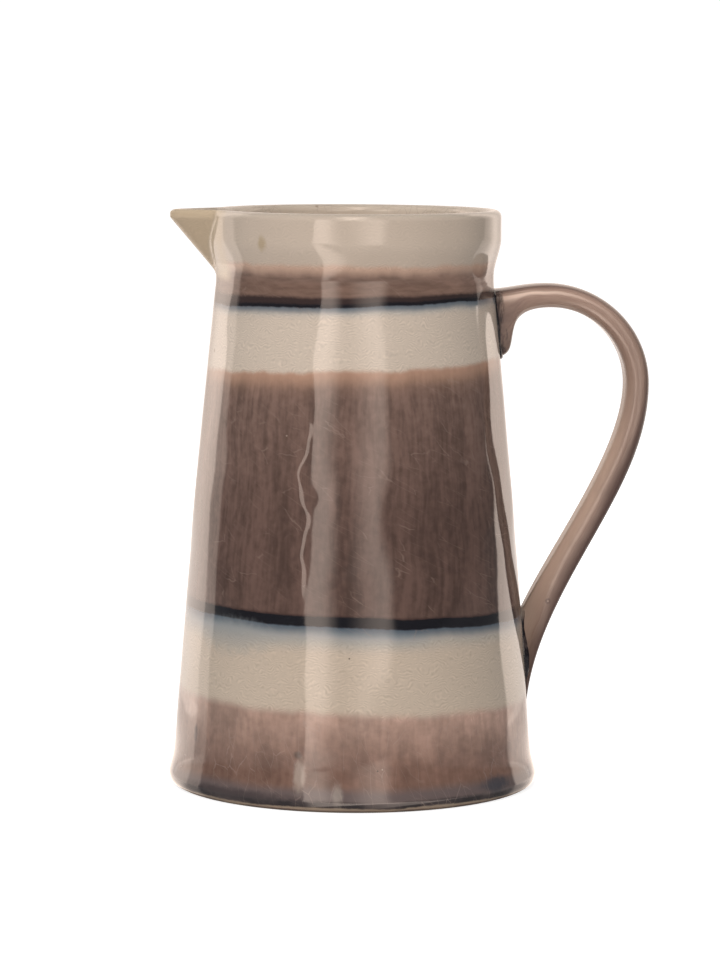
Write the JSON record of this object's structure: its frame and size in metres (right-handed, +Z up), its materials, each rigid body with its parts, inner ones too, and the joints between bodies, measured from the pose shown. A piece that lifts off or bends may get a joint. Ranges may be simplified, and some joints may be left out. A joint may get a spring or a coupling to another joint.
{
  "type": "stoneware pitcher",
  "caption": "Tapered stoneware pitcher with a flared collar, a beak spout, a looped strap handle and glossy bands of cream, brown and dark blue glaze, for pouring drinks.",
  "frame": {"origin": "centre of the flat underside of the foot, on the axis of the pot", "axes": "+Z up along the axis of the pot, +X towards the handle, -X towards the spout, Y across"},
  "size_m": [0.2115, 0.1618, 0.253],
  "materials": {
    "bare_clay": "fired, unglazed",
    "slip": "dark joint, glazed over",
    "liner_glaze": "gloss",
    "cream_glaze": "gloss, crackled",
    "brown_glaze": "gloss, streaked and crackled",
    "light_brown_glaze": "gloss, crackled",
    "mauve_glaze": "gloss, crackled",
    "blue_glaze": "gloss"
  },
  "bodies": {
    "root": {"foot_slab": "bare_clay", "body_wall": "bare_clay", "collar": "bare_clay", "spout": "bare_clay", "handle": "bare_clay", "foot_slip": "slip", "neck_slip": "slip", "spout_slip": "slip", "upper_handle_slip": "slip", "lower_handle_slip": "slip", "liner_glaze": "liner_glaze", "collar_cream_glaze": "cream_glaze", "neck_brown_glaze": "light_brown_glaze", "upper_blue_line": "blue_glaze", "upper_cream_glaze": "cream_glaze", "wide_brown_glaze": "brown_glaze", "lower_blue_line": "blue_glaze", "lower_cream_glaze": "cream_glaze", "foot_brown_glaze": "light_brown_glaze", "foot_blue_line": "blue_glaze", "spout_glaze": "cream_glaze", "channel_glaze": "cream_glaze", "handle_glaze": "mauve_glaze"}
  },
  "joints": []
}
